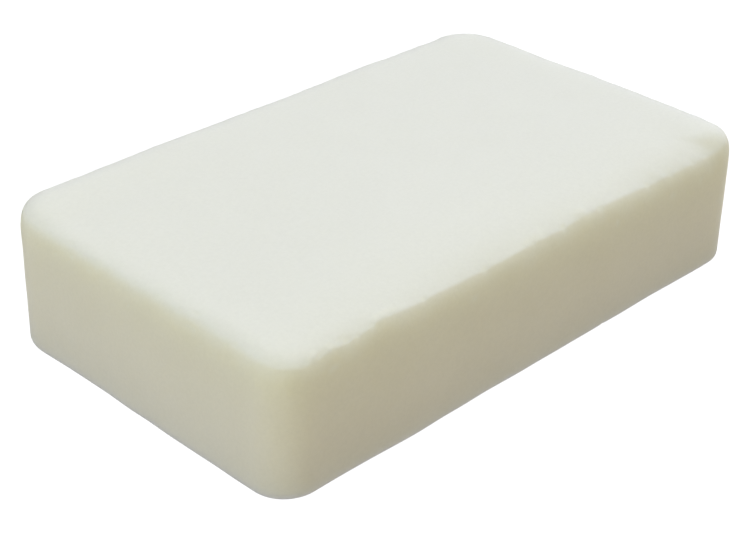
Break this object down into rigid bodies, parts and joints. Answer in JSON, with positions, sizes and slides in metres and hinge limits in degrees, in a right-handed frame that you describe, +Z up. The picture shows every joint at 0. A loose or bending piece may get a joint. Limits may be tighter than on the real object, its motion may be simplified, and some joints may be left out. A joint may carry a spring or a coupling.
{
  "type": "gymnastics chalk block",
  "caption": "Low rectangular bar of pressed gymnastics chalk, solid in one piece, with rounded upright corners and softly rounded top and foot edges.",
  "frame": {"origin": "centre of the block's bounding box at the level of the foot, the flat face that it rests on", "axes": "+X along the block's length, +Y across its width, +Z up from the foot to the top face"},
  "size_m": [0.092, 0.0556, 0.0215],
  "materials": {
    "pressed_chalk": "matte"
  },
  "bodies": {
    "root": {"chalk_block": "pressed_chalk"}
  },
  "joints": []
}
